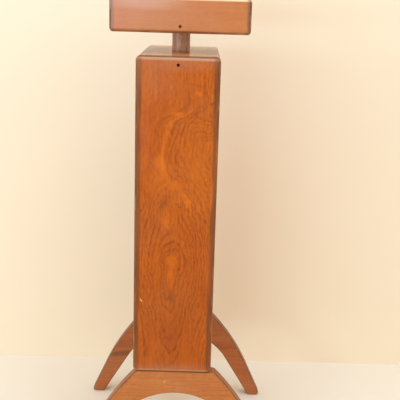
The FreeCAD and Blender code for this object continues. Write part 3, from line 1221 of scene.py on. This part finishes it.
# The head's pale worn colour is mostly a painted highlight along its top round-over.
HEAD_WOOD = WoodFinish(
    "head_wood", light=srgb(200, 115, 49), dark=srgb(188, 101, 41), line=srgb(156, 82, 34),
    edge=srgb(120, 84, 62), deep=srgb(92, 56, 34), worn=srgb(244, 206, 150),
    bloom=srgb(200, 150, 120), line_strength=0.12, tone_strength=0.5, end_strength=0.3, end_start=0.2,
    crest_highlight_strength=0.8, stain_strength=0.55, edge_shade_strength=0.65, edge_reach=0.12, bloom_strength=0.15,
    roughness=0.36, specular=0.42, coat=0.7)
POST_WOOD = WoodFinish(
    "post_wood", light=srgb(236, 170, 124), dark=srgb(203, 142, 100), line=srgb(118, 76, 50),
    edge=srgb(90, 56, 36), deep=srgb(80, 50, 34), worn=srgb(160, 120, 90),
    bloom=srgb(160, 130, 110), line_strength=0.2, mottle=1.6, roughness=0.34, specular=0.35, coat=0.2)
BARE_WOOD = WoodFinish(
    "bare_wood", light=srgb(216, 186, 140), dark=srgb(190, 156, 108), line=srgb(150, 112, 72),
    edge=srgb(180, 144, 100), deep=srgb(160, 124, 84), worn=srgb(222, 196, 156),
    bloom=srgb(200, 176, 140), line_strength=0.45, end_coat=0.0, roughness=0.7, coat=0.0, relief=0.00012)
STEEL = MetalFinish("steel", bright=(0.30, 0.28, 0.26), tarnish=(0.07, 0.045, 0.03), roughness=0.4)
BROWNED = MetalFinish("browned_steel", bright=srgb(122, 60, 26), tarnish=srgb(84, 38, 16), roughness=0.5,
                      metallic=0.15)
BRASS = MetalFinish("brass", bright=(0.62, 0.44, 0.18), tarnish=(0.3, 0.2, 0.09), roughness=0.3)
FELT = FeltFinish("felt", light=(0.03, 0.07, 0.035), dark=(0.012, 0.03, 0.015), worn=(0.06, 0.1, 0.06))


# ---- The stand's sub-assemblies -----------------------------------------------------------------


def add_object(name: str, data: bpy.types.ID) -> bpy.types.Object:
    """Make an object and put it in the scene.

    Args:
        name: Its name.
        data: Its mesh, camera or light.

    Returns:
        The object.
    """
    made = bpy.data.objects.new(name, data)
    bpy.context.scene.collection.objects.link(made)
    return made


def dress(frame: dict[str, Any], piece: str, finish: WoodFinish | MetalFinish,
          board: Board | None = None) -> None:
    """Give all slots of a CAD node its finish.

    Args:
        frame: The loaded frame.
        piece: The node's name.
        finish: The finish.
        board: How the piece was cut, where it is wood.
    """
    material = finish.material(piece, board) if board else finish.material(piece)
    for slot in frame["nodes"][piece].material_slots:
        slot.material = material
    LOG.info("dressed %s in %s", piece, material.name)


def half_size(node: str) -> Vector:
    """Return half of a node's size, in millimetres."""
    low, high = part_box(node)
    return (high - low) * (MILLIMETRES / 2)


def foot_of(node: str) -> Place:
    """Return the middle of a node's lowest face, as the origin that its grain is read from."""
    low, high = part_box(node)
    return (low.x + high.x) / 2, (low.y + high.y) / 2, low.z


@dataclass(frozen=True)
class Column:
    """The box column: its outer boards of plywood and the glue strips in its corners."""

    ply_layer: float = 2.7
    front: RotaryFigure = RotaryFigure(eyes=(
        Eye(-4.0, 165.0, 4.6, 3.8, 20.0, taper=0.35),
        Eye(-9.0, 226.0, 4.0, 3.4, 8.7, 2.6, taper=0.4),
        Eye(60.0, 366.0, 16.0, 6.5, 4.6, 8.7),
    ), seam=19.0, far_side=62.0,
        bends=(Bend(243.0, 305.0, -36.0), Bend(315.0, 352.0, 9.0), Bend(350.0, 384.0, 40.0)),
        seam_shows=Oval(8.0, 300.0, 45.0, 86.0, softness=0.3),
        open_width=20.0, close_width=3.6, wander=7.0, clear=1.8,
        calm=(Oval(-36.0, 318.0, 34.0, 100.0, softness=0.6), Oval(-26.0, 398.0, 52.0, 50.0, softness=0.4),
              Oval(2.0, 430.0, 60.0, 38.0, softness=0.4), Oval(-14.0, 232.0, 24.0, 24.0),
              Oval(-8.0, 262.0, 24.0, 28.0, softness=0.6), Oval(34.0, 318.0, 28.0, 44.0, softness=1.6)))
    front_patches: tuple[Patch, ...] = (
        # Darker towards the foot of the front: painted shade, where the light falls off lower down.
        Patch(srgb(140, 62, 12), Oval(0.0, 60.0, 120.0, 190.0, softness=1.0), 0.36),
        # Paler at the top of the front and at its top left: painted reflection haze, partly bloom in the
        # varnish.
        Patch(srgb(176, 122, 92), Oval(0.0, 436.0, 90.0, 20.0), 0.3),
        Patch(srgb(180, 112, 84), Oval(-30.0, 410.0, 44.0, 40.0, softness=1.0), 0.2),
        # Paler along the foot of the front: painted reflection of the floor.
        Patch(srgb(176, 122, 92), Oval(0.0, 2.0, 90.0, 18.0, softness=1.0), 0.4),
        Patch(srgb(150, 62, 30), Oval(-4.0, 54.0, 18.0, 24.0, softness=1.0), 0.3),
        Patch(srgb(176, 84, 48), Oval(-42.0, 348.0, 14.0, 60.0, softness=1.0), 0.35),
        Patch(srgb(176, 84, 48), Oval(46.0, 150.0, 10.0, 60.0, softness=1.0), 0.3),
        Patch(srgb(104, 44, 16), Oval(-16.0, 246.0, 6.0, 18.0, lean=-32.0), 0.4),
        Patch(srgb(118, 54, 20), Oval(-1.0, 355.0, 5.0, 6.0, lean=20.0), 0.4),
        Patch(srgb(122, 74, 30), Oval(26.0, 404.0, 7.0, 3.5, lean=-10.0), 0.4),
        Patch(srgb(226, 110, 40), Oval(28.0, 394.0, 7.0, 4.0), 0.35),
        Patch(srgb(104, 46, 16), Oval(-2.0, 112.0, 5.0, 11.0), 0.4),
        Patch(srgb(230, 112, 28), Oval(0.0, 367.0, 14.0, 4.0, softness=1.0), 0.4),
        Patch(srgb(226, 112, 26), Oval(-22.0, 302.0, 13.0, 16.0, lean=-30.0, softness=1.0), 0.4),
        Patch(srgb(226, 116, 28), Oval(-20.0, 284.0, 17.0, 34.0, lean=-30.0, softness=1.0), 0.22),
        Patch(srgb(226, 116, 28), Oval(-12.0, 220.0, 9.0, 16.0, lean=18.0, softness=1.0), 0.3),
        Patch(srgb(224, 106, 18), Oval(-4.0, 166.0, 9.0, 12.0), 0.15),
        Patch(srgb(224, 104, 18), Oval(-3.0, 142.0, 4.5, 22.0), 0.3),
        Patch(srgb(216, 116, 30), Oval(26.0, 296.0, 54.0, 96.0, softness=1.0), 0.25),
        Patch(srgb(224, 116, 34), Oval(48.0, 258.0, 3.0, 34.0), 0.35),
        Patch(srgb(238, 190, 110), Oval(-44.4, 107.6, 0.8, 3.2, lean=35.0, softness=0.4), 0.85),
    )
    back: RotaryFigure = RotaryFigure(eyes=(
        Eye(10.0, 280.0, 5.0, 10.0, 16.0),
        Eye(-20.0, 120.0, 4.0, 8.0, 10.0, 2.0),
    ), seam=-30.0, bends=(Bend(190.0, 310.0, 54.0),))
    left: RotaryFigure = RotaryFigure(eyes=(
        Eye(30.0, 210.0, 6.0, 14.0, 22.0),
        Eye(-48.0, 330.0, 5.0, 9.0, 15.0, 1.0),
    ), seam=60.0, bends=(Bend(200.0, 330.0, -80.0),))
    right: RotaryFigure = RotaryFigure(eyes=(
        Eye(-36.0, 160.0, 6.0, 12.0, 20.0),
        Eye(40.0, 360.0, 5.0, 9.0, 12.0, 1.0),
    ), seam=-70.0, bends=(Bend(220.0, 350.0, 100.0),))
    lid: RotaryFigure = RotaryFigure(eyes=(Eye(-18.0, 170.0, 5.0, 16.0, 24.0),), seam=20.0)

    def corners(self, piece: str) -> Corners:
        """Return a panel's stained corners, from its size in the frame."""
        half = half_size(piece)
        return Corners(half.x, half.y)

    def build(self, frame: dict[str, Any]) -> None:
        """Dress the column's boards.

        Args:
            frame: The loaded frame.
        """
        upright, flat, sideways = GrainAxis.Z_FACING_Y, GrainAxis.Y_FACING_Z, GrainAxis.Z_FACING_X
        boards = {
            "front_panel": (COLUMN_WOOD, upright, self.front, self.front_patches),
            "back_panel": (SIDE_WOOD, upright, self.back, ()),
            "left_side_panel": (SIDE_WOOD, sideways, self.left, ()),
            "right_side_panel": (SIDE_WOOD, sideways, self.right, ()),
            "top_board": (TOP_WOOD, flat, self.lid, ()),
            "bottom_board": (COLUMN_WOOD, flat, self.lid, ()),
        }
        for piece, (finish, axis, figure, patches) in boards.items():
            corners = self.corners(piece) if axis is upright else None
            edges = Edges.BOARD if corners else Edges.NONE
            board = Board(axis, figure, edges, foot_of(piece), self.ply_layer, corners, patches)
            dress(frame, piece, finish, board)
        for row, pith_depth in (("front", 14.0), ("back", -16.0)):
            for side, pith_across in (("left", 20.0), ("right", 29.0)):
                piece = f"corner_strip_{row}_{side}"
                figure = TrunkFigure(pith_across, pith_depth)
                board = Board(sideways, figure, Edges.NONE, foot_of(piece))
                dress(frame, piece, BARE_WOOD, board)


@dataclass(frozen=True)
class Feet:
    """The two arched feet, with their dowels and screws."""

    front: TrunkFigure = TrunkFigure(40.0, 70.0, 3.6, 22.0)
    front_patches: tuple[Patch, ...] = (
        Patch(srgb(226, 150, 96), Oval(131.0, -15.0, 3.2, 2.0, softness=0.6), 0.5),
    )
    back: TrunkFigure = TrunkFigure(90.0, -60.0, 3.2, 20.0)
    back_patches: tuple[Patch, ...] = (
        Patch(srgb(92, 60, 36), Oval(71.0, -93.0, 7.0, 44.0, lean=-8.0, softness=0.8), 0.6),
    )

    def build(self, frame: dict[str, Any]) -> None:
        """Dress the feet.

        Args:
            frame: The loaded frame.
        """
        for piece, finish, figure, patches in (
                ("front_arch", ARCH_WOOD, self.front, self.front_patches),
                ("back_arch", BACK_ARCH_WOOD, self.back, self.back_patches)):
            board = Board(GrainAxis.X_FACING_Y, figure, origin=foot_of(piece), patches=patches)
            dress(frame, piece, finish, board)
        board = Board(GrainAxis.Z_FACING_X, TrunkFigure(12.0, 9.0, 1.4, 3.0), Edges.NONE)
        dress(frame, "arch_dowels", BARE_WOOD, board)
        dress(frame, "arch_screws", STEEL)


@dataclass(frozen=True)
class FeltPiece:
    """A round piece of pressed felt, solid or with a hole, revolved from its section and matted.

    The shoulder's angles, in degrees, are where its rounded corners have points.
    """

    node: str
    body: str
    hole: float
    corner: float
    matting: float
    segments: int = 160
    step: float = 0.0012
    fibre_scale: float = 420.0
    shoulder: ClassVar[tuple[float, ...]] = (22.5, 45.0, 67.5)

    def section(self) -> list[tuple[float, float]]:
        """Outline the section that the felt is revolved from.

        Returns:
            Its points as (radius, height), from the hole over the top to the hole again.
        """
        low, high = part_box(self.node)
        outer, corner = (high.x - low.x) / 2, self.corner
        inner = max(self.hole, self.step / 2)
        level = outer - inner - 2 * corner
        count = max(2, round(level / self.step))
        top = [(inner + corner + level * i / count, high.z) for i in range(count + 1)]
        turn = [math.radians(angle) for angle in self.shoulder]
        shoulder = [(outer - corner + corner * math.sin(a), high.z - corner + corner * math.cos(a))
                    for a in turn]
        points = top + shoulder + [(outer, high.z - corner), (outer, low.z), (inner, low.z)]
        if self.hole:
            points.append((inner, high.z - corner))
            points += [(inner + corner - corner * math.cos(a), high.z - corner + corner * math.sin(a))
                       for a in turn]
        return points

    def build(self) -> bpy.types.Object:
        """Build the felt and let it stand for its CAD node.

        Returns:
            The felt's object.
        """
        section = self.section()
        points, faces = [], []
        for turn in range(self.segments):
            angle = 2 * math.pi * turn / self.segments
            for radius, height in section:
                spot = Vector((radius * math.cos(angle), radius * math.sin(angle), height))
                sink = abs(random_field.fractal(spot * self.fibre_scale, 1.0, 2.0, 3)) * self.matting
                inward = sink if radius > self.hole else 0
                toward = Vector((-math.cos(angle), -math.sin(angle), 0)) * inward
                points.append(spot + toward - Vector((0, 0, sink)))
        rows = len(section)
        for turn in range(self.segments):
            here, after = turn * rows, (turn + 1) % self.segments * rows
            for row in range(rows - 1 + bool(self.hole)):
                down = (row + 1) % rows
                faces.append((here + row, here + down, after + down, after + row))
        if not self.hole:
            faces.append([turn * rows for turn in range(self.segments)])
            faces.append([turn * rows + rows - 1 for turn in reversed(range(self.segments))])
        mesh = bpy.data.meshes.new(self.node + "_matted")
        mesh.from_pydata(points, [], faces)
        mesh.shade_smooth()
        felt = add_object(self.node + "_matted", mesh)
        mesh.materials.append(FELT.material(self.node))
        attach(felt, self.body)
        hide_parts(self.node)
        LOG.info("built %s with %d faces", felt.name, len(faces))
        return felt


@dataclass(frozen=True)
class Guides:
    """What guides and brakes the post inside the column."""

    brake: FeltPiece = FeltPiece("brake_felt", "stand", hole=0.013, corner=0.0012, matting=0.0002)
    brake_fill: float = 0.9

    def build(self, frame: dict[str, Any]) -> None:
        """Dress the guides and build the brake's felt ring.

        Args:
            frame: The loaded frame.
        """
        blocks = {
            "guide_block": (GrainAxis.X_FACING_Z, TrunkFigure(52.0, 30.0)),
            "guide_shelf": (GrainAxis.X_FACING_Z, TrunkFigure(20.0, 44.0)),
            "shelf_cleat_left": (GrainAxis.Y_FACING_X, TrunkFigure(31.0, 16.0)),
            "shelf_cleat_right": (GrainAxis.Y_FACING_X, TrunkFigure(-22.0, 26.0)),
        }
        for piece, (axis, figure) in blocks.items():
            board = Board(axis, figure, Edges.NONE, foot_of(piece))
            dress(frame, piece, BARE_WOOD, board)
        for piece in ("guide_block_screws", "shelf_screws", "cleat_screws"):
            dress(frame, piece, STEEL)
        self.brake.build()


@dataclass(frozen=True)
class Post:
    """The sliding post, its thrust disc and the pin that limits it."""

    figure: TrunkFigure = TrunkFigure(16.0, 22.0, 2.4, 7.0)

    def build(self, frame: dict[str, Any]) -> None:
        """Dress the post and what goes with it.

        Args:
            frame: The loaded frame.
        """
        board = Board(GrainAxis.Z_FACING_Y, self.figure, Edges.NONE, foot_of("post"))
        dress(frame, "post", POST_WOOD, board)
        dress(frame, "thrust_disc", BRASS)
        dress(frame, "lock_pin", BROWNED)


@dataclass(frozen=True)
class Head:
    """The head that turns on the post, its pin and the felt in its bell seat."""

    figure: TrunkFigure = TrunkFigure(-60.0, 90.0, 3.4, 14.0)
    stain_reach: float = 8.0
    # A pale lilac haze at the top left of the head's front: painted reflection of the light from the front
    # left.
    patches: tuple[Patch, ...] = (Patch(srgb(216, 180, 164), Oval(40.0, -46.0, 15.0, 70.0), 0.32),)
    seat: FeltPiece = FeltPiece("bell_seat_felt", "head", hole=0.0, corner=0.0006, matting=0.00025)

    def build(self, frame: dict[str, Any]) -> None:
        """Dress the head and build the felt of its bell seat.

        Args:
            frame: The loaded frame.
        """
        half = half_size("head_block")
        corners = Corners(half.x, half.y, self.stain_reach, along_grain=True)
        board = Board(GrainAxis.X_FACING_Y, self.figure, Edges.BOX, foot_of("head_block"),
                      corners=corners, patches=self.patches)
        dress(frame, "head_block", HEAD_WOOD, board)
        dress(frame, "head_pin", BROWNED)
        low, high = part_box(self.seat.node)
        self.seat.build()


# ---- Stage, light and camera --------------------------------------------------------------------


@dataclass(frozen=True)
class ViewCamera:
    """The camera, a little above the column's top and looking slightly down at it."""

    place: Place = (0.0299, -1.1430, 0.6615)
    pitch: float = 14.337
    yaw: float = 0.17
    roll: float = 1.686
    lens: float = 71.25
    sensor_width: float = 36.0

    def build(self) -> None:
        """Make the camera the scene's own."""
        data = bpy.data.cameras.new("view_camera")
        data.lens, data.sensor_width = self.lens, self.sensor_width
        camera = add_object("view_camera", data)
        yaw, pitch, roll = (math.radians(angle) for angle in (self.yaw, self.pitch, self.roll))
        ahead = Vector((math.sin(yaw), math.cos(yaw), 0))
        right = Vector((math.cos(yaw), -math.sin(yaw), 0))
        up = Vector((0, 0, 1))
        look = ahead * math.cos(pitch) - up * math.sin(pitch)
        top = up * math.cos(pitch) + ahead * math.sin(pitch)
        rolled_right = right * math.cos(roll) + top * math.sin(roll)
        rolled_top = top * math.cos(roll) - right * math.sin(roll)
        turn = Matrix((rolled_right, rolled_top, -look)).transposed().to_4x4()
        camera.matrix_world = Matrix.Translation(self.place) @ turn
        bpy.context.scene.camera = camera
        LOG.info("camera at %s", self.place)


@dataclass(frozen=True)
class SoftLight:
    """A large soft light aimed at a point."""

    name: str
    place: Place
    aim: Place
    size: tuple[float, float]
    power: float
    colour: Colour

    def build(self) -> None:
        """Hang the light, out of the camera's sight."""
        data = bpy.data.lights.new(self.name, "AREA")
        data.shape, data.energy, data.color = "RECTANGLE", self.power, self.colour
        data.size, data.size_y = self.size
        light = add_object(self.name, data)
        light.location = self.place
        toward = Vector(self.aim) - Vector(self.place)
        light.rotation_euler = toward.to_track_quat("-Z", "Y").to_euler()
        light.visible_camera = False


@dataclass(frozen=True)
class Stage:
    """A plain pale floor and wall in a cream room with soft light."""

    floor_colour: Colour = srgb(242, 230, 212)
    wall_colour: Colour = srgb(246, 226, 198)
    room_colour: Colour = srgb(248, 229, 201)
    room_light: Colour = (1.0, 0.92, 0.79)
    wall_y: float = 0.229
    wall_turn: float = 0.5
    half: float = 3.0
    wall_height: float = 3.0
    tone_scale: float = 6.0
    deeper: float = 0.98
    roughness: float = 0.8
    specular: float = 0.1
    lights: tuple[SoftLight, ...] = (
        SoftLight("overhead", (0.0, -0.35, 1.9), (0.0, 0.0, 0.3), (1.1, 1.1), 14.0, (0.45, 0.7, 1.0)),
        SoftLight("front_left", (-1.1, -2.2, 0.65), (-0.1, 0.0, 0.5), (1.9, 0.5), 14.5, (0.32, 0.7, 1.0)),
        SoftLight("far_left", (-2.5, -1.95, 0.6), (0.0, 0.0, 0.6), (0.6, 0.5), 14.0, (0.6, 0.85, 1.0)),
        SoftLight("front_right", (1.5, -1.8, 1.6), (0.0, 0.0, 0.3), (1.4, 1.4), 5.4, (0.4, 0.66, 1.0)),
    )

    def sheet(self, name: str, corners: list[Place], colour: Colour) -> None:
        """Put up one plain surface of the stage, which can be seen through from behind.

        Args:
            name: Its name.
            corners: Its corners, anticlockwise as seen from its front.
            colour: Its colour.
        """
        mesh = bpy.data.meshes.new(name)
        mesh.from_pydata(corners, [], [(0, 1, 2, 3)])
        surface = add_object(name, mesh)
        material, graph, shader = new_material("pale " + name)
        tone = graph.noise(graph.spot(), self.tone_scale)
        deeper = tuple(level * self.deeper for level in colour)
        graph.feed(shader.inputs["Base Color"], graph.tint(tone, colour, deeper))
        shader.inputs["Roughness"].default_value = self.roughness
        shader.inputs["Specular IOR Level"].default_value = self.specular
        behind = graph.signal(graph.node("NewGeometry", {}), "Backfacing")
        clear = graph.signal(graph.node("BsdfTransparent", {}))
        seen = graph.node("MixShader", {0: behind, 1: graph.signal(shader), 2: clear})
        graph.feed(material.node_tree.nodes["Material Output"].inputs["Surface"], graph.signal(seen))
        mesh.materials.append(material)

    def surfaces(self) -> None:
        """Lay the floor and stand the wall on it, turned a little from the stand's own back."""
        half, rise = self.half, self.half * math.tan(math.radians(self.wall_turn))
        left, right = (-half, self.wall_y - rise, 0.0), (half, self.wall_y + rise, 0.0)
        self.sheet("floor", [(-half, -half, 0.0), (half, -half, 0.0), (half, half, 0.0),
                             (-half, half, 0.0)], self.floor_colour)
        self.sheet("wall", [left, right, (half, right[1], self.wall_height),
                            (-half, left[1], self.wall_height)], self.wall_colour)

    def room(self) -> None:
        """Surround the stand with a cream room, whose light is whiter than the cream it shows."""
        world = bpy.data.worlds.new("cream room")
        world.use_nodes = True
        bpy.context.scene.world = world
        graph = Graph(world.node_tree)
        camera_ray = graph.signal(graph.node("LightPath", {}), "Is Camera Ray")
        background = world.node_tree.nodes["Background"]
        graph.feed(background.inputs["Color"], graph.tint(camera_ray, self.room_light, self.room_colour))

    def build(self) -> None:
        """Set the stage and the way that light is turned into screen colours."""
        self.surfaces()
        self.room()
        for light in self.lights:
            light.build()
        bpy.context.scene.view_settings.view_transform = "Standard"
        LOG.info("stage with %d lights", len(self.lights))


def main() -> None:
    """Build the scene round the frame."""
    logging.basicConfig(level=logging.INFO, format="%(name)s: %(message)s")
    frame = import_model()
    ViewCamera().build()
    Stage().build()
    for part in (Column(), Feet(), Guides(), Post(), Head()):
        part.build(frame)


if __name__ == "__main__":
    main()
